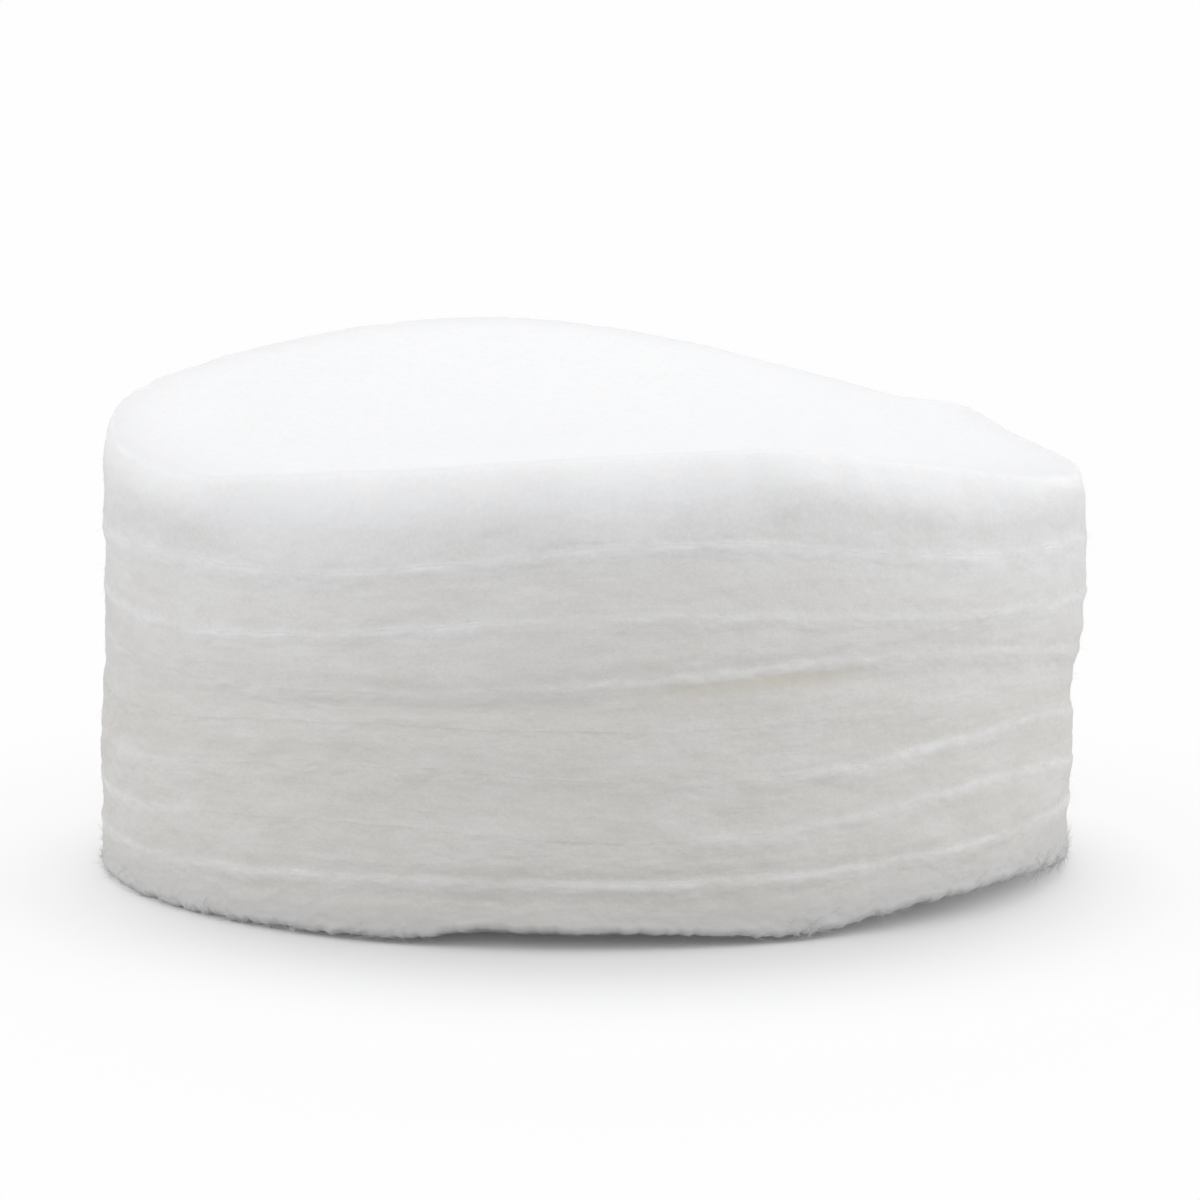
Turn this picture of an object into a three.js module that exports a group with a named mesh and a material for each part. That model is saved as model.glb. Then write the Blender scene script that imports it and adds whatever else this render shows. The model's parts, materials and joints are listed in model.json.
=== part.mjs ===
// A squared, pressed stack of round cotton pads, standing on a table.
// Millimetres, +Z up, +X to the stack's right and +Y to its back. The origin is on the table, under the
// middle of the stack. Headings are in degrees about +Z, from +X towards +Y.
import * as THREE from "three";

// The cut of a pad
const PAD_DIAMETER = 57;
const PAD_THICKNESS = 3;
const EDGE_ROUND = 0.5;
const EDGE_WAIST = 0.2;
const SEAM_GAP = 0.3;

// The two ends of the stack, which no neighbour presses flat
const TOP_EDGE_ROUND = 1.3;
const TOP_SWELL = 2.4;
const FOOT_EDGE_ROUND = 1.2;

// The bend of the stack's top: higher towards one side, and higher at two opposite rims than between them
const LEAN_RISE = 0.95;
const LEAN_HEADING = 190;
const SADDLE_RISE = 2.2;
const SADDLE_HEADING = 106;

// The lift of the stack's lowest rim off the table, past a line at CURL_START from the axis
const CURL_RISE = 1.4;
const CURL_HEADING = 335;
const CURL_START = 12;

// The pads, from the table up. Swell and spread are what a pad measures over or under PAD_THICKNESS, from seam
// to seam, and PAD_DIAMETER. Slip is how far it stands off the axis, and ripple the wave round its upper rim.
const PADS = [
  {
    name: "bottom_pad", swell: 0.4, spread: -0.5, slip: { x: -0.2, y: 0.1 },
    ripple: { rise: 0.3, lobes: 3, heading: 16 },
  },
  {
    name: "second_pad", swell: -0.2, spread: -0.2, slip: { x: 0, y: -0.1 },
    ripple: { rise: 0.55, lobes: 4, heading: 329 },
  },
  {
    name: "third_pad", swell: 0.1, spread: 0, slip: { x: 0.1, y: 0.1 },
    ripple: { rise: 0.65, lobes: 4, heading: 334 },
  },
  {
    name: "fourth_pad", swell: -0.4, spread: -0.1, slip: { x: 0.2, y: -0.1 },
    ripple: { rise: 0.4, lobes: 4, heading: 330 },
  },
  {
    name: "fifth_pad", swell: -0.5, spread: 0, slip: { x: 0.3, y: 0.2 },
    ripple: { rise: 0.5, lobes: 3, heading: 308 },
  },
  {
    name: "sixth_pad", swell: 0, spread: 0.4, slip: { x: 0.5, y: 0 },
    ripple: { rise: 0.3, lobes: 4, heading: 0 },
  },
  {
    name: "seventh_pad", swell: 0.6, spread: 0.8, slip: { x: 0.7, y: 0.1 },
    ripple: { rise: 0.4, lobes: 5, heading: 351 },
  },
  {
    name: "top_pad", swell: TOP_SWELL, spread: 0.7, slip: { x: 0.7, y: 0 },
    ripple: { rise: 0.25, lobes: 4, heading: 100 },
  },
];

// Fineness of the solids: facets round a pad, rings on each of its faces and steps along each curve of its edge
const SEGMENTS = 48;
const FACE_RINGS = 3;
const CURVE_STEPS = 2;

const COTTON = { color: 0xf4f3f0, roughness: 0.95, metalness: 0 };

const PAD_RADIUS = PAD_DIAMETER / 2;
const STACK_HEIGHT = PADS.reduce((height, pad) => height + PAD_THICKNESS + pad.swell, 0);

// How far a point lies out from the axis towards a heading.
function reachTowards(heading, x, y) {
  const angle = THREE.MathUtils.degToRad(heading);
  return x * Math.cos(angle) + y * Math.sin(angle);
}

// How far the stack's top stands above its flat height.
function topBend(x, y) {
  const lean = reachTowards(LEAN_HEADING, x, y) / PAD_RADIUS;
  const ridge = reachTowards(SADDLE_HEADING, x, y) / PAD_RADIUS;
  const out = Math.hypot(x, y) / PAD_RADIUS;
  return LEAN_RISE * lean + SADDLE_RISE * (2 * ridge ** 2 - out ** 2);
}

// How far the stack's underside stands off the table.
function footLift(x, y) {
  const past = Math.max(0, reachTowards(CURL_HEADING, x, y) - CURL_START);
  return CURL_RISE * (past / (PAD_RADIUS - CURL_START)) ** 2;
}

// The wave round one rim, which dies away towards the axis.
function rimWave({ rise, lobes, heading }, x, y) {
  const turn = Math.atan2(y, x) - THREE.MathUtils.degToRad(heading);
  const out = Math.hypot(x, y) / PAD_RADIUS;
  return rise * out ** lobes * Math.cos(lobes * turn);
}

// The height of a seam at a point. The higher the seam lies in the flat stack, the more it takes up of the
// top's bend and the less of the foot's lift.
function seamHeight({ level, ripple }, x, y) {
  const share = level / STACK_HEIGHT;
  const bend = share * topBend(x, y) + (1 - share) * footLift(x, y);
  return level + bend + (ripple ? rimWave(ripple, x, y) : 0);
}

// Half the section of a flat pad: out along its underside, up its cut edge and back along its upper face.
function padProfile(radius, thickness, lowerRound, upperRound) {
  const lowerFace = radius - lowerRound;
  const upperFace = radius - upperRound;
  const upperEdge = thickness - upperRound;
  const profile = new THREE.Path();
  profile.moveTo(0, 0);
  for (let ring = 1; ring <= FACE_RINGS; ring += 1) {
    profile.lineTo((lowerFace * ring) / FACE_RINGS, 0);
  }
  profile.quadraticCurveTo(radius, 0, radius, lowerRound);
  profile.quadraticCurveTo(radius - 2 * EDGE_WAIST, (lowerRound + upperEdge) / 2, radius, upperEdge);
  profile.quadraticCurveTo(radius, thickness, upperFace, thickness);
  for (let ring = FACE_RINGS - 1; ring >= 0; ring -= 1) {
    profile.lineTo((upperFace * ring) / FACE_RINGS, thickness);
  }
  return profile.getPoints(CURVE_STEPS);
}

// A pad turned flat, then bent to fill the space between the seam below it and the seam above it.
function makePad(pad, below, above, clearance, lowerRound, upperRound) {
  const radius = (PAD_DIAMETER + pad.spread) / 2;
  const thickness = above.level - below.level;
  const profile = padProfile(radius, thickness, lowerRound, upperRound);
  const geometry = new THREE.LatheGeometry(profile, SEGMENTS);
  geometry.rotateX(Math.PI / 2);
  const points = geometry.attributes.position;
  for (let index = 0; index < points.count; index += 1) {
    const x = points.getX(index) + pad.slip.x;
    const y = points.getY(index) + pad.slip.y;
    const underside = seamHeight(below, x, y) + clearance;
    const share = points.getZ(index) / thickness;
    points.setZ(index, THREE.MathUtils.lerp(underside, seamHeight(above, x, y), share) - below.level);
  }
  geometry.computeVertexNormals();
  const mesh = new THREE.Mesh(geometry, new THREE.MeshStandardMaterial(COTTON));
  mesh.name = pad.name;
  mesh.position.set(pad.slip.x, pad.slip.y, below.level);
  return mesh;
}

// The stack, laid up from the table
const stack = new THREE.Group();
let below = { level: 0 };
for (const pad of PADS) {
  const isFoot = pad === PADS.at(0);
  const isTop = pad === PADS.at(-1);
  const above = { level: below.level + PAD_THICKNESS + pad.swell, ripple: pad.ripple };
  const clearance = isFoot ? 0 : SEAM_GAP;
  const lowerRound = isFoot ? FOOT_EDGE_ROUND : EDGE_ROUND;
  const upperRound = isTop ? TOP_EDGE_ROUND : EDGE_ROUND;
  stack.add(makePad(pad, below, above, clearance, lowerRound, upperRound));
  below = above;
}

// The middle of the stack's outline stands over the origin
const middle = new THREE.Box3().setFromObject(stack).getCenter(new THREE.Vector3());
stack.position.set(-middle.x, -middle.y, 0);

const part = new THREE.Group();
part.add(stack);

export default part;
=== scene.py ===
"""A pressed stack of round cotton pads with loose fibres, on a white stage. Headings are in degrees."""

import json
import math
from typing import NamedTuple

import bpy
import numpy as np
from bpy.props import FloatProperty, FloatVectorProperty, IntProperty, PointerProperty
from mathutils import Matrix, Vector, noise

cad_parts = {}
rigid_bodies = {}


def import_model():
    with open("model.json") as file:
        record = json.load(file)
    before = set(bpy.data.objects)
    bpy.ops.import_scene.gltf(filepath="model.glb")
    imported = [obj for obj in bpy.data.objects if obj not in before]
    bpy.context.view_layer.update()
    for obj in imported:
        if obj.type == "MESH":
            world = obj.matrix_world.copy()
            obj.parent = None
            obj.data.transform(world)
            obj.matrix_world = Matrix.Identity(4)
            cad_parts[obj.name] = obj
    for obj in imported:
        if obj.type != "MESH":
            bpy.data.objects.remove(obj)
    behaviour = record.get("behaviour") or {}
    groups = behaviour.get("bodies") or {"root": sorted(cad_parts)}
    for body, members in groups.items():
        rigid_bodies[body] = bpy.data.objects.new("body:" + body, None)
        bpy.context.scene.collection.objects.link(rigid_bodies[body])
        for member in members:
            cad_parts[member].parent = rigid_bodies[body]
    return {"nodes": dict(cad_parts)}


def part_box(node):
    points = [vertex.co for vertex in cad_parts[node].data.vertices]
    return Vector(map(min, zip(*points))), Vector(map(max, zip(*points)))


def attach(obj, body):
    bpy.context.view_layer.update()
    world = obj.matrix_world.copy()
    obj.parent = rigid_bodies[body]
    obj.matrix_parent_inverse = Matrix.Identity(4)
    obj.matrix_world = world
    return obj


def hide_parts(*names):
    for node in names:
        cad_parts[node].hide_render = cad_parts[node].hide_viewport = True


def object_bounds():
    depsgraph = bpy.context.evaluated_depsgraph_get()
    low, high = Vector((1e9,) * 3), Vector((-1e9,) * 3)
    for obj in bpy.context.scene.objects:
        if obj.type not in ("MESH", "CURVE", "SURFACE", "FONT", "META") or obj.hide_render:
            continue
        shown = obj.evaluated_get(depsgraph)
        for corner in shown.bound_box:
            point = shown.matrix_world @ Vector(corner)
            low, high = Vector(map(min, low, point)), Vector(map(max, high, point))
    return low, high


bl_info = {
    "name": "Cotton Pad Stack",
    "version": (1, 0, 0),
    "blender": (4, 5, 0),
    "location": "View3D > Sidebar > Cotton",
    "description": "Dresses a stack of round cotton pads with soft rims, loose fibres and a white stage",
    "category": "Add Mesh",
}

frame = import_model()
CAD_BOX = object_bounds()
BODY = "root"
MM = 0.001


def middle_height(name):
    """Twice the height of a pad's middle, which puts the pads in order."""
    low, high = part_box(name)
    return low.z + high.z


class Layer(NamedTuple):
    """Soft random lumps: their size, how much they count and the seed of their draw."""

    size: float
    weight: float
    seed: int


class Rim(NamedTuple):
    """How strongly a pressed rim shows, and the heading and half width of where it fades."""

    strength: float
    fade_at: float = 90
    fade_half: float = 0


class Hump(NamedTuple):
    """A soft rise, or a dip where it is negative: its heading, half width and height."""

    heading: float
    half: float
    rise: float

    def at(self, heading):
        """How high it stands at each heading."""
        return self.rise * np.exp(-((around(heading, self.heading) / self.half) ** 2))


# The pads from the table up, the lowest and the highest one, and their nominal radius
PADS = sorted(frame["nodes"], key=middle_height)
FOOT = 0
TOP = len(PADS) - 1
RIM_RADIUS = (CAD_BOX[1][0] - CAD_BOX[0][0]) / 2

# How far apart two seeds lie in the noise
SEED_STEP = Vector((17.31, 9.73, 13.37))

# How a face is read: from vertices so far inside its outline, as waves of up to so many lobes
FACE_INSET = 0.4 * MM
MOST_LOBES = 5

# Where a face's hidden rings lie, and the height of a pad in flat places
FACE_SHARES = (0.25, 0.5, 0.7, 0.85, 0.95)
LEVEL_STEP = 3 * MM

# How each pad's upper rim shows, the share left where it fades, and how softly it does
RIMS = {
    "bottom_pad": Rim(0.85),
    "second_pad": Rim(0.8, 250, 34),
    "third_pad": Rim(0.8, 250, 36),
    "fourth_pad": Rim(0.2, 230, 50),
    "fifth_pad": Rim(0.5, 225, 28),
    "sixth_pad": Rim(0.9),
    "seventh_pad": Rim(1.3),
    "top_pad": Rim(0),
}
FADE_KEEPS = 0.12
FADE_SOFTNESS = 16

# The patches and knobs in which a rim comes and goes, and their limits
PATCHES = (Layer(7 * MM, 0.6, 0),)
PATCH_BASE = 0.8
PATCH_RANGE = (0.1, 1.3)
KNOBS = (Layer(1.3 * MM, 0.4, 20), Layer(0.6 * MM, 0.3, 40))
KNOB_BASE = 1
KNOB_RANGE = (0.4, 1.6)

# A pressed rim's crest over the seam, its half heights above and below, and its painted highlight
CREST = 0.02 * MM
CREST_ABOVE = 0.22 * MM
CREST_BELOW = 0.45 * MM
RIDGE_HIGHLIGHT = 0.65

# A collar's least share of its height, and where the pad behind and its own inside draw in
COLLAR_LEAST = 0.1
BEVEL_SHARE = 0.5
INNER_SHARE = 0.4

# How seams and outlines stray, and how far from a seam two outlines meet
SEAM_RAG = (Layer(3.1 * MM, 1, 0), Layer(1.1 * MM, 0.6, 50))
OUTLINE_STRAY = (Layer(11 * MM, 1, 100), Layer(3.5 * MM, 0.4, 130))
BLEND = 1.2 * MM

# How many millimetres each pad's rim reaches out on the right, from the table up, and where
FLANK_HEADING = 352
FLANK_HALF = 38
FLANK_REACH = (0.45, 0.4, 0.2, 0.15, 0.15, 0.15, 0, 0)

# Soft lumps, how much flatter than wide they are, and their share on the top face
LUMP_SQUASH = 1.8
BROAD_LUMPS = (Layer(3.4 * MM, 1.2, 1),)
FINE_LUMPS = (Layer(1.2 * MM, 0.6, 2), Layer(0.5 * MM, 0.4, 3))
FACE_FLUFF = 0.3

# Where the top's rolled rim draws in most, and how far from there not at all and fully
ROLL_HEADING = 266
ROLL_SPAN = (76, 22)

# The rolled rim's broad and short lobes: how many, the heading of one, and their depth
BROAD_LOBES = 2
BROAD_HEADING = 255
SHORT_LOBES = 8
SHORT_HEADING = 277
LOBE_DEPTH = 0.25
ROLL_LUMPS = (Layer(7 * MM, 0.2, 63), Layer(2.2 * MM, 0.15, 64))

# The roll's least shares of inset and depth, and the collar heights that it leaves free below
ROLL_INSET_LEAST = 0.17
ROLL_DEPTH_LEAST = 0.5
ROLL_LEAVES = 2

# How steeply it rolls, how far outwards its upper end faces, and its share that has the full painted
# highlight
ROLL_POWER = 1.55
CORNER_FACING = 0.3
ROLL_HIGHLIGHT_FULL = 0.3

# How closely rows crowd at the upper end of the roll and at the rim of the face
ROLL_CROWDING = 1.5
FACE_CROWDING = 1.3

# How steeply the rim's short waves die away on the top face
RAG_FADES = 12

# Humps of the top's rim, and the share of the radius where they start
RIM_WAVES = (
    Hump(38, 8, 0.8 * MM),
    Hump(45, 35, 0.25 * MM),
    Hump(170, 27, 1.1 * MM),
    Hump(235, 20, 0.2 * MM),
    Hump(294, 14, 0.4 * MM),
)
WAVE_START = 0.72

# Where the foot's rim stands off the table or sags
FOOT_GAPS = (
    Hump(262, 30, 0.3 * MM),
    Hump(258, 8, 0.6 * MM),
    Hump(273, 13, 0.55 * MM),
    Hump(297, 10, -0.3 * MM),
    Hump(309, 8, 0.15 * MM),
    Hump(352, 16, -0.75 * MM),
    Hump(110, 12, 0.35 * MM),
)

# The rags of the foot's rim, and the most of them
FOOT_RAGS = (Layer(1.3 * MM, 0.5, 61), Layer(0.4 * MM, 1.3, 62))
FOOT_RAG_BASE = 0.6
FOOT_RAG_MOST = 1.6

# Tufts on the foot, the limits of the broad ones, and the heights where they start and are full
BROAD_TUFTS = (Layer(1.3 * MM, 0.5, 71),)
BROAD_TUFT_RANGE = (-0.1, 0.5)
FINE_TUFTS = (Layer(0.5 * MM, 0.8, 72),)
TUFT_SPAN = (2.2 * MM, 0.3 * MM)

# How thick fibres lie on the cut edge, on its rims and on the foot, and their share on a face
FUZZ_SIDE = 0.2
FUZZ_RIM = 0.8
FUZZ_FOOT = 8
FUZZ_FACE = 0.5

# How far up the foot's fibres reach, and how far under the top face others start and are full
FUZZ_FOOT_REACH = 0.8 * MM
FUZZ_TOP_SPAN = (1 * MM, 2.5 * MM)

# The clumps of fibres, where they start and are full, and how far outwards a clump faces
FUZZ_CLUMPS = (Layer(0.8 * MM, 1, 81),)
FUZZ_CLUMP_SPAN = (-0.1, 0.4)
FUZZ_CLUMP_FACING = 0.2

# How strongly painted light soaks down from the top, the painted shade on the foot, and the heights where
# that shade starts and is full
SOAK_GAIN = 1.45
FOOT_PAINTED_SHADE = 0.6
FOOT_PAINTED_SHADE_SPAN = (2.6 * MM, 0.6 * MM)

# Shares of the top pad's height, from its face down, where its glow starts to end and has ended
GLOW_SPAN = (0.5, 0.85)

# Painted shade on the top face near its rim, what it loses where the rim draws in, and its reach from the rim
FACE_RIM_SHADE = 0.85
FACE_RIM_SHADE_LOST = 0.8
RIM_SHADE_REACH = 2.5 * MM

# Painted shade along the top's edge, what it gains where the rim draws in, and painted shade on the foot
TOP_EDGE_SHADE = 0.5
TOP_EDGE_SHADE_ADDED = 1.1
FOOT_RIM_SHADE = 0.7
FOOT_RIM_SHADE_SPAN = (2.6 * MM, 0.4 * MM)

# The faint beige band just under one rim: its heading, half width, full share, depth and strength
BEIGE_BAND_PAD = "fifth_pad"
BEIGE_BAND_HEADING = 289
BEIGE_BAND_HALF = 19
BEIGE_BAND_CORE = 0.3
BEIGE_BAND_TOP = 0.25 * MM
BEIGE_BAND_DEPTH = 1.9 * MM
BEIGE_BAND_STRENGTH = 0.7

# The noises in the cotton, where squash is their repeats up a pad for one along it
LAYER_NOISE = {"size": 3.2 * MM, "squash": 7, "detail": 4, "roughness": 0.6, "distortion": 0.4}
CLUMP_NOISE = {"size": 5 * MM, "squash": 2, "detail": 3, "roughness": 0.55}
GRAIN_NOISE = {"size": 0.22 * MM, "squash": 1.6, "detail": 3, "roughness": 0.65, "distortion": 0.6}
MAT_NOISE = {"size": 0.5 * MM, "detail": 5, "roughness": 0.7, "distortion": 1.6}
FLECK_NOISE = {"size": 1.2 * MM, "detail": 2}

# How much each noise thins the cut edge, and the middle of their sum
LAYERS_THIN = 0.6
CLUMPS_THIN = 0.5
GRAIN_THIN = 0.8
THIN_MIDDLE = (LAYERS_THIN + CLUMPS_THIN + GRAIN_THIN) / 2

# The painted shade of the cut edge, how much less of it where painted light soaks in, and how white a face's
# mat is
EDGE_PAINTED_SHADE = 0.85
SOAK_WHITENS = 0.6
MAT_WHITE = 0.42

# How much each noise stands up from the cut edge and from a face
LAYERS_RELIEF = 0.6
GRAIN_RELIEF = 0.5
FACE_RELIEF = 0.3

# A fibre's points and sides, the least height of its middle line, and its curls
FIBRE_POINTS = 3
FIBRE_SIDES = 3
FIBRE_LOWEST = 0.02 * MM
CURL_NOISE = {"size": 1.1 * MM, "detail": 1}
CURL_GAIN = 2.0

# How far fibres on the cut edge swing, in radians
FIBRE_SWING = 0.5

# How much further fibres swing and how much coarser they are where they lie thicker
FIBRE_STRAYS = 0.15
FIBRE_COARSENS = 0.25

# A fibre's most dip as a share of its lift, and the shortest as a share of the length
FIBRE_DIP = 0.1
FIBRE_SHORTEST = 0.35

# A fibre's radius at its root and what it loses to the tip, as shares of the thickness
FIBRE_ROOT = 0.5
FIBRE_TAPER = 0.35

# Seeds between the fibres of two pads
FUZZ_SEED_STEP = 10

# How much sooner the floor whitens beside the stack than in front, the painted white glow that lifts its
# shadow, its drop
FLOOR_OVAL = 1.7
SHADOW_FILL = 0.08
FLOOR_DROP = 0.01 * MM


def whole(name, description, default, least):
    return IntProperty(name=name, description=description, default=default, min=least)


def plain(name, description, default):
    return FloatProperty(name=name, description=description, default=default)


def in_mm(name, description, default):
    """A length, with its default in millimetres."""
    value = default * MM
    return FloatProperty(name=name, description=description, default=value, precision=6, unit="LENGTH")


def angle(name, description, default):
    """An angle, with its default in degrees."""
    value = math.radians(default)
    return FloatProperty(
        name=name, description=description, default=value, subtype="ANGLE", unit="ROTATION"
    )


def spot(name, description, default):
    """A place, with its default in metres."""
    return FloatVectorProperty(
        name=name, description=description, default=default, size=3, subtype="TRANSLATION", unit="LENGTH"
    )


def tint(name, description, default):
    return FloatVectorProperty(name=name, description=description, default=default, size=3, subtype="COLOR")


class PadSettings(bpy.types.PropertyGroup):
    """Sizes and colours of the pads."""

    segments: whole("Segments", "Points round a pad's rim", 960, 48)
    wall_rows: whole("Wall rows", "Rows of points up a pad's cut edge", 14, 4)
    corner_steps: whole("Corner steps", "Rows of points round the turn of a rim", 5, 2)
    face_rings: whole("Face rings", "Rings of points on the top pad's face", 40, 4)
    lip_rows: whole("Lip rows", "Rows of points on a pressed rim", 8, 4)
    roll_rows: whole("Roll rows", "Rows of points on the top's rolled rim", 16, 4)
    lip: in_mm("Lip", "How far a pressed rim stands out from the cut edge", 0.085)
    lip_reach: in_mm("Lip reach", "How far down the cut edge the close rows of a pressed rim reach", 0.7)
    collar: in_mm("Collar", "How far a pressed rim laps up over the pad above", 0.3)
    film: in_mm("Film", "How far a collar's upper end stands off the pad behind it", 0.008)
    bevel: in_mm("Bevel", "How far a pad's lower rim draws in behind the pressed rim under it", 0.14)
    waist: in_mm("Waist", "How far the cut edge draws in at half its height", 0.03)
    roll_inset: in_mm("Roll inset", "How far the top's rolled rim draws in", 2.15)
    roll_depth: in_mm("Roll depth", "How far down the cut edge the top's rolled rim reaches", 4.7)
    crown: in_mm("Crown", "How far the top face falls towards its rim", 0.35)
    crown_reach: in_mm("Crown reach", "How far in from its rim the top face starts to fall", 5.0)
    edge: in_mm("Edge", "Height of the soft turn from the top face to its rolled rim", 0.26)
    # Painted light: the side's colour is lightened this far down, standing in for the top's light soaking
    # through
    painted_soak: in_mm("Soak", "How far down the side the light of the top soaks through the cotton", 15)
    glow: in_mm("Glow", "How far light wanders in the loose cotton of the top", 5)
    foot_round: in_mm("Foot round", "Radius of the turn from the underside to the cut edge", 0.55)
    foot_inset: in_mm("Foot inset", "How far in from the rim the underside meets the table", 6)
    foot_rag: in_mm("Foot rag", "How far the ragged lower rim stands off the table", 0.15)
    wander: in_mm("Wander", "How far a pad's outline strays from a true round", 0.14)
    rag: in_mm("Seam rag", "How far a seam strays up and down in short waves", 0.1)
    fluff: in_mm("Fluff", "Height of the soft lumps on the cotton", 0.09)
    tuft: in_mm("Tuft", "How far tufts stand out along the foot", 0.07)
    slack: in_mm("Slack", "How far a hidden face draws back from the seam", 0.08)
    contact: in_mm("Contact", "Gap between two pads at their rims", 0.004)
    fill: FloatProperty(
        name="Fill", description="How tightly a pad is filled", default=0.5, min=0, max=1, subtype="FACTOR"
    )
    cotton: tint("Cotton", "Colour of clean cotton", (0.938, 0.938, 0.945))
    # Painted shade: this colour darkens the cut edge below the top's white, and also gives thin fibres and
    # flecks their random tone
    shaded: tint("Thin cotton", "Colour where the fibres lie thin", (0.752, 0.736, 0.702))
    # Painted shade: this colour darkens the top's rim, its edge and the foot
    rim_shade_tint: tint("Haze", "Colour of the loose cotton along the top's rim and the foot", (0.69, 0.687, 0.697))
    # The beige colour of a faint band just under one rim
    beige_tint: tint("Stain", "Colour of the beige smear", (0.76, 0.725, 0.64))


class FuzzSettings(bpy.types.PropertyGroup):
    """Sizes of the loose fibres."""

    density: plain("Density", "Fibres on a square metre of pad where its fuzz is 1", 4.5e6)
    length: in_mm("Length", "Length of the longest fibres", 1.3)
    thickness: in_mm("Thickness", "Thickness of a fine fibre at its root", 0.016)
    lift: angle("Lift", "Steepest angle of a fibre off the surface", 20)
    curl: in_mm("Curl", "How far a fibre strays from a straight line", 0.3)
    seed: IntProperty(name="Seed", description="Start of the random spread", default=7)


class StageSettings(bpy.types.PropertyGroup):
    """The camera, lamps and floor."""

    aim: spot("Aim", "Point that the camera looks at", (0.39 * MM, 0.39 * MM, 15.34 * MM))
    elevation: angle("Elevation", "Angle of the camera above the table", 9.5)
    distance: in_mm("Distance", "From the camera to its aim", 570)
    lens: plain("Lens", "Focal length in millimetres on a 36 mm sensor", 290)
    floor_reach: in_mm("Floor reach", "Half the width of the floor", 10000)
    floor_seen: tint("Floor", "Colour of the floor to the camera", (0.99, 0.99, 0.99))
    shadow_reach: in_mm("Shadow reach", "How far from the stack's axis the floor's own shading ends", 85)
    floor_bounce: tint("Floor bounce", "Colour that the floor throws back on the cotton", (0.55, 0.542, 0.53))
    dome_tint: tint("Dome tint", "Colour of the dome's light", (0.99, 0.995, 1.01))
    zenith: plain("Zenith", "Strength of the dome straight above", 0.41)
    horizon: plain("Horizon", "Strength of the dome at the horizon", 0.59)
    front: plain("Front", "How much brighter the dome is in front than at the back", 0.275)
    sides: plain("Sides", "How much brighter the dome is straight to the left and right", 1.7)
    right: plain("Right", "How much brighter the dome is at the right than at the left", 0.075)
    key_power: FloatProperty(
        name="Key power", description="Power of the soft lamp above and behind", default=1.62, unit="POWER"
    )
    key_width: in_mm("Key width", "Width of the soft lamp", 450)
    key_place: spot("Key place", "Where the soft lamp hangs", (0.0, 0.25, 0.6))


class Socket:
    """An output in a node tree. Python's operators on it add Math nodes."""

    def __init__(self, graph, socket):
        self.graph = graph
        self.socket = socket

    def output(self, name):
        """Another output of the same node."""
        return Socket(self.graph, self.socket.node.outputs[name])

    def __add__(self, other):
        return self.graph.math("ADD", self, other)

    def __radd__(self, other):
        return self.graph.math("ADD", other, self)

    def __sub__(self, other):
        return self.graph.math("SUBTRACT", self, other)

    def __rsub__(self, other):
        return self.graph.math("SUBTRACT", other, self)

    def __mul__(self, other):
        return self.graph.math("MULTIPLY", self, other)

    def __rmul__(self, other):
        return self.graph.math("MULTIPLY", other, self)


class Graph:
    """A node tree that is built up by calls, each of which adds a node."""

    def __init__(self, tree):
        self.tree = tree
        tree.nodes.clear()

    def node(self, kind, sockets=None, output=0, **settings):
        """Adds a node, sets it up, feeds its sockets by name or number, and gives one output."""
        made = self.tree.nodes.new(kind)
        for name, value in settings.items():
            setattr(made, name, value)
        for name, value in (sockets or {}).items():
            self.feed(made.inputs[name], value)
        return Socket(self, made.outputs[output]) if made.outputs else None

    def feed(self, target, value):
        if isinstance(value, Socket):
            self.tree.links.new(value.socket, target)
        else:
            target.default_value = value

    def math(self, operation, first, second):
        return self.node("ShaderNodeMath", {0: first, 1: second}, operation=operation)

    def vector(self, operation, first, second):
        return self.node("ShaderNodeVectorMath", {0: first, 1: second}, operation=operation)

    def attribute(self, name, output="Fac"):
        return self.node("ShaderNodeAttribute", output=output, attribute_name=name)

    def noise(self, places, size, squash=1, detail=2, roughness=0.5, distortion=0):
        """Soft noise from 0 to 1 in lumps of about a size, flatter if squashed."""
        if squash != 1:
            places = self.vector("MULTIPLY", places, (1, 1, squash))
        sockets = {
            "Vector": places, "Scale": 1 / size, "Detail": detail,
            "Roughness": roughness, "Distortion": distortion,
        }
        return self.node("ShaderNodeTexNoise", sockets, noise_dimensions="3D")

    def mix(self, factor, first, second):
        """A colour between two colours."""
        sockets = {"Factor": factor, 6: first, 7: second}
        return self.node("ShaderNodeMix", sockets, output=2, data_type="RGBA", clamp_factor=True)

    def mix_shader(self, factor, first, second):
        return self.node("ShaderNodeMixShader", {0: factor, 1: first, 2: second})


def smooth_step(low, high, value):
    """A soft step from 0, at low, to 1, at high."""
    share = np.clip((value - low) / (high - low), 0, 1)
    return share * share * (3 - 2 * share)


def lumps(places, size, seed):
    """Soft random values, about -1 to 1, at an array of places, in lumps of about a size."""
    shift = SEED_STEP * (seed + 1)
    flat = (np.asarray(places) / size).reshape(-1, 3).tolist()
    values = [noise.noise(Vector(place) + shift) for place in flat]
    return np.array(values).reshape(np.shape(places)[:-1])


def layered(places, layers, seed=0, base=0):
    """Layers of lumps, added to a base."""
    return sum((layer.weight * lumps(places, layer.size, seed + layer.seed) for layer in layers), base)


def around(heading, at):
    """How far headings lie from a given one, the short way round."""
    return np.abs((heading - at + 180) % 360 - 180)


def wave_terms(x, y):
    """The waves that a face is made of, at the given places."""
    out = np.hypot(x, y) / RIM_RADIUS
    turn = np.arctan2(y, x)
    terms = []
    for lobes in range(MOST_LOBES + 1):
        for power in (lobes, lobes + 2):
            terms.append(out**power * np.cos(lobes * turn))
            if lobes:
                terms.append(out**power * np.sin(lobes * turn))
    return np.stack(terms, axis=-1)


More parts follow.
